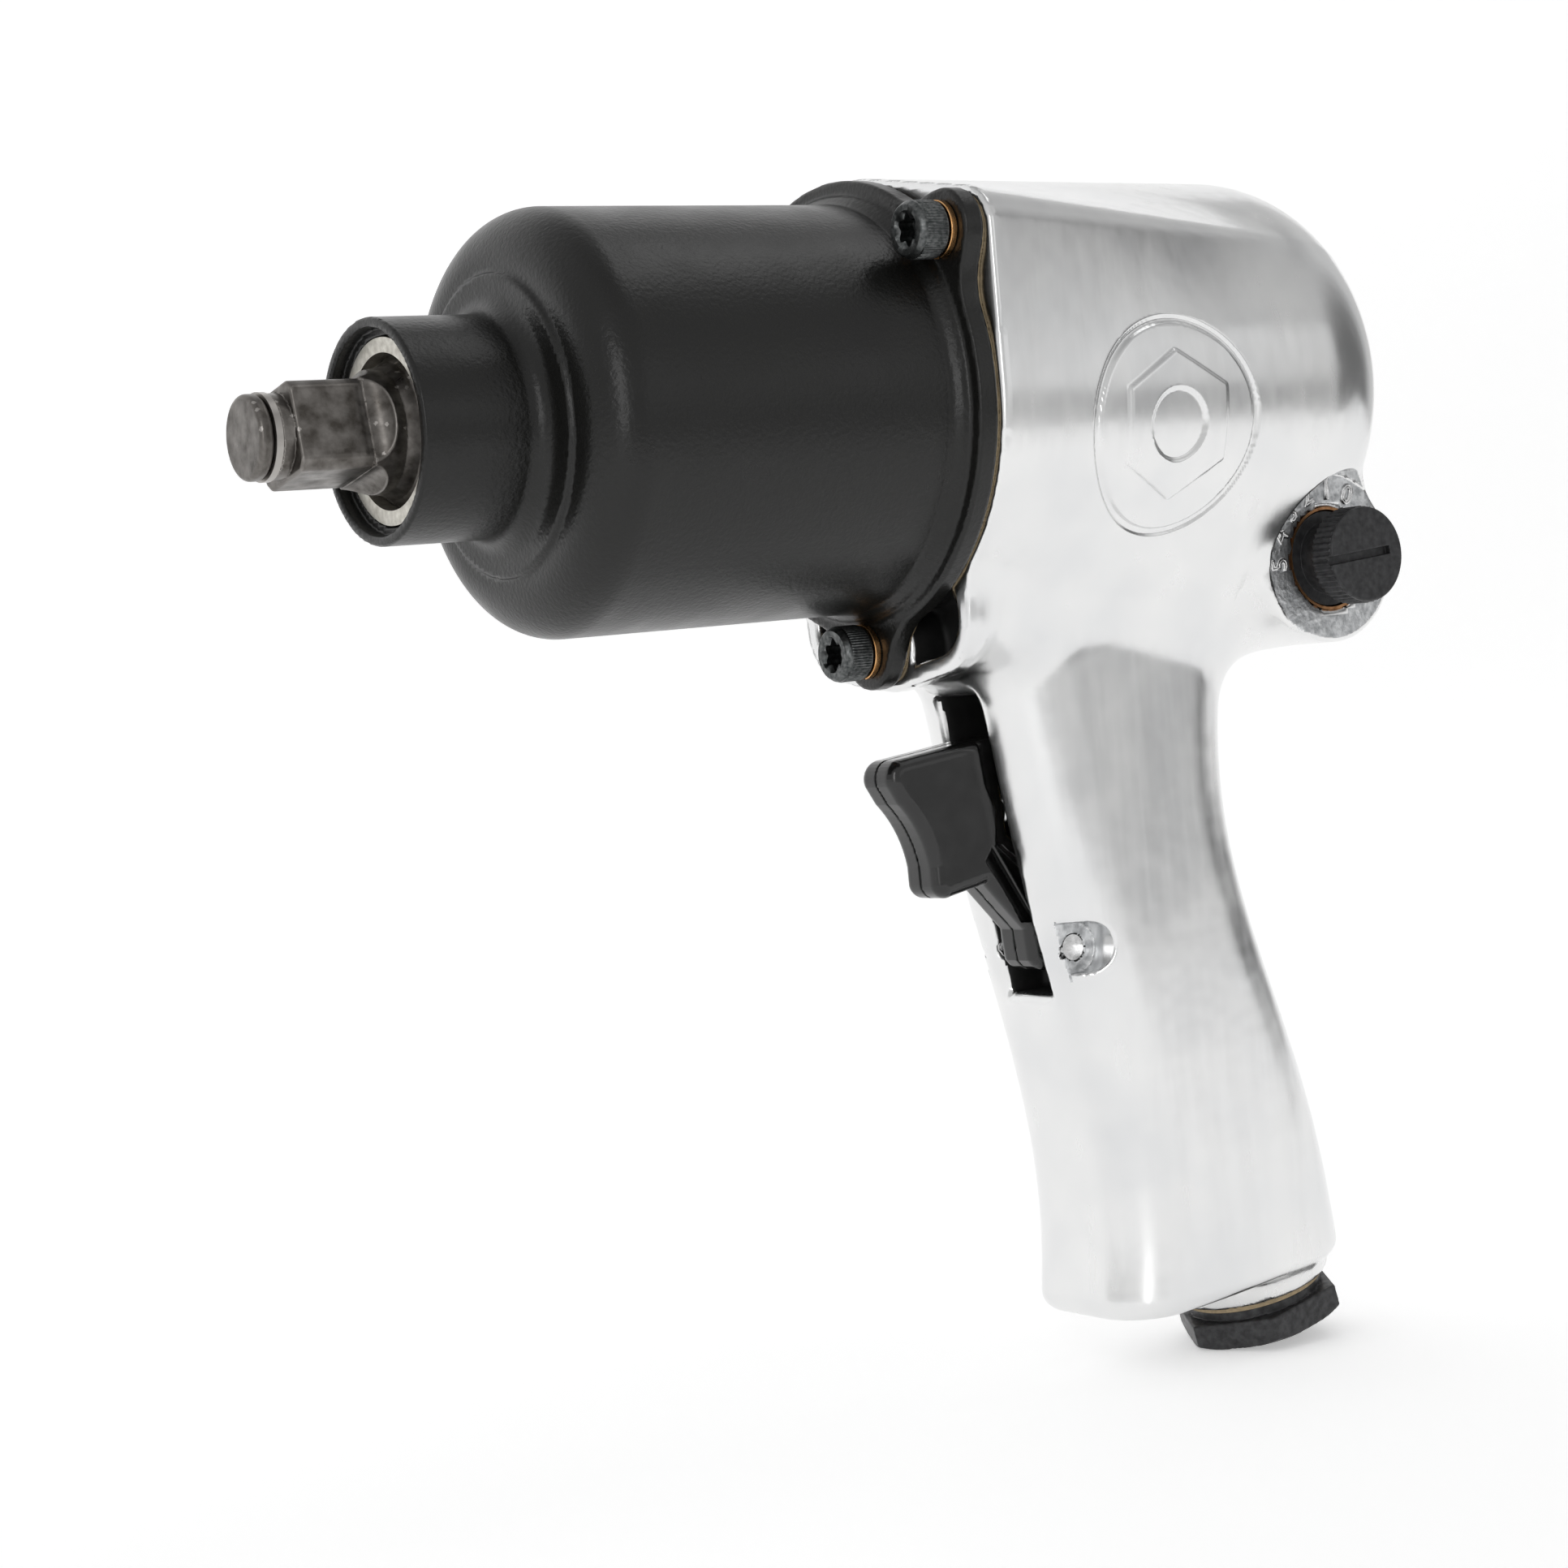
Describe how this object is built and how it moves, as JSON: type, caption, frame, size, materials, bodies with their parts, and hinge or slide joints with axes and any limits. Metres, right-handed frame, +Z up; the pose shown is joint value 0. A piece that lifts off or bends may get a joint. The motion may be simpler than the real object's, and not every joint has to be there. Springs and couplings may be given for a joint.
{
  "type": "impact wrench",
  "caption": "Pistol-grip air impact wrench with a square drive, twin hammer mechanism, vane motor, reversing valve and power regulator.",
  "frame": {"origin": "on the spindle axis, at the shoulder behind the drive square", "axes": "+X forward along the spindle, +Y to the operator's left, +Z up"},
  "size_m": [0.1877, 0.0696, 0.1886],
  "materials": {
    "polished_aluminium": "polished cast aluminium with soft brushing",
    "black_case": "satin black powder coat with a fine orange-peel texture",
    "gasket_fibre": "compressed fibre",
    "bush_metal": "sintered iron-bronze, matt",
    "phosphate_steel": "grey-black phosphate, knurled head",
    "copper_washer": "copper-toned spring steel",
    "plain_steel": "turned",
    "bright_steel": "ground and polished",
    "hardened_steel": "dark heat-treated steel, bright where it wears",
    "vane_fibre": "woven phenolic",
    "brass_parts": "turned brass",
    "valve_bronze": "turned bronze",
    "gloss_black_plastic": "moulded, glossy",
    "black_rubber": "nitrile rubber",
    "black_steel": "black oxide, satin",
    "muffler_felt": "porous felt"
  },
  "bodies": {
    "housing": {"motor_housing": "polished_aluminium", "hammer_case": "black_case", "case_gasket": "gasket_fibre", "anvil_bush": "bush_metal", "case_screws": "phosphate_steel", "spring_washers": "copper_washer", "front_end_plate": "plain_steel", "motor_cylinder": "plain_steel", "rear_end_plate": "plain_steel", "cylinder_dowel": "bright_steel", "motor_clamp_washer": "plain_steel", "front_bearing_outer_race": "bright_steel", "rear_bearing_outer_race": "bright_steel", "trigger_pin": "bright_steel", "plunger_bush": "brass_parts", "valve_seat": "black_rubber", "valve_spring": "bright_steel", "inlet_bushing": "black_steel", "inlet_washer": "gasket_fibre", "inlet_screen": "bright_steel", "exhaust_muffler": "muffler_felt", "exhaust_screen": "plain_steel", "reverse_valve_bush": "valve_bronze", "spool_stop_pin": "bright_steel"},
    "motor_rotor": {"rotor": "plain_steel", "rotor_vanes": "vane_fibre", "front_bearing_inner_race": "bright_steel", "rear_bearing_inner_race": "bright_steel", "hammer_cage": "hardened_steel", "hammer_pins": "bright_steel"},
    "front_hammer_dog": {"front_hammer": "hardened_steel"},
    "rear_hammer_dog": {"rear_hammer": "hardened_steel"},
    "drive_anvil": {"anvil": "hardened_steel", "socket_ring": "hardened_steel", "socket_ring_cushion": "black_rubber"},
    "front_ball_set": {"front_bearing_balls": "bright_steel", "front_bearing_cage": "brass_parts"},
    "rear_ball_set": {"rear_bearing_balls": "bright_steel", "rear_bearing_cage": "brass_parts"},
    "trigger_lever": {"trigger": "gloss_black_plastic"},
    "plunger": {"trigger_plunger": "bright_steel"},
    "tilt_valve": {"throttle_valve": "brass_parts"},
    "spool": {"reversing_spool": "bright_steel", "spool_o_rings": "black_rubber", "reverse_button": "black_steel"},
    "regulator": {"regulator_knob": "black_steel", "metering_rod": "bright_steel"}
  },
  "joints": [
    {"name": "motor_spin", "type": "hinge", "parent": "housing", "child": "motor_rotor", "pos_m": [-0.11, 0, 0], "axis": [1, 0, 0], "continuous": true},
    {"name": "anvil_spin", "type": "hinge", "parent": "housing", "child": "drive_anvil", "pos_m": [0, 0, 0], "axis": [1, 0, 0], "continuous": true},
    {"name": "front_hammer_rock", "type": "hinge", "parent": "motor_rotor", "child": "front_hammer_dog", "pos_m": [-0.0388, 0, 0.0206], "axis": [1, 0, 0], "range_deg": [-3, 3]},
    {"name": "rear_hammer_rock", "type": "hinge", "parent": "motor_rotor", "child": "rear_hammer_dog", "pos_m": [-0.0551, 0, -0.0206], "axis": [1, 0, 0], "range_deg": [-3, 3]},
    {"name": "front_balls_turn", "type": "hinge", "parent": "housing", "child": "front_ball_set", "pos_m": [-0.0855, 0, 0], "axis": [1, 0, 0], "continuous": true},
    {"name": "rear_balls_turn", "type": "hinge", "parent": "housing", "child": "rear_ball_set", "pos_m": [-0.133, 0, 0], "axis": [1, 0, 0], "continuous": true},
    {"name": "trigger_pull", "type": "hinge", "parent": "housing", "child": "trigger_lever", "pos_m": [-0.1045, 0, -0.0847], "axis": [0, -1, 0], "range_deg": [0, 10], "stiffness_Nm_per_rad": 0.6, "springref_deg": -6.88},
    {"name": "plunger_slide", "type": "slide", "parent": "housing", "child": "plunger", "axis": [-1, 0, 0], "range_m": [0, 0.0039]},
    {"name": "valve_tilt", "type": "hinge", "parent": "housing", "child": "tilt_valve", "pos_m": [-0.12384, 0, -0.08972], "axis": [0, -1, 0], "range_deg": [0, 8.4], "deforming": ["valve_spring"]},
    {"name": "reverse_slide", "type": "slide", "parent": "housing", "child": "spool", "axis": [0, -1, 0], "range_m": [0, 0.0085]},
    {"name": "regulator_turn", "type": "hinge", "parent": "spool", "child": "regulator", "pos_m": [-0.1539, 0, -0.0286], "axis": [0, -1, 0], "range_deg": [0, 120]}
  ],
  "couplings": [
    {"joint": "front_balls_turn", "follows": "motor_spin", "ratio": 0.4028},
    {"joint": "rear_balls_turn", "follows": "motor_spin", "ratio": 0.4028},
    {"joint": "plunger_slide", "follows": "trigger_pull", "m_per_rad": 0.0217},
    {"joint": "valve_tilt", "follows": "trigger_pull", "ratio": 0.812}
  ]
}
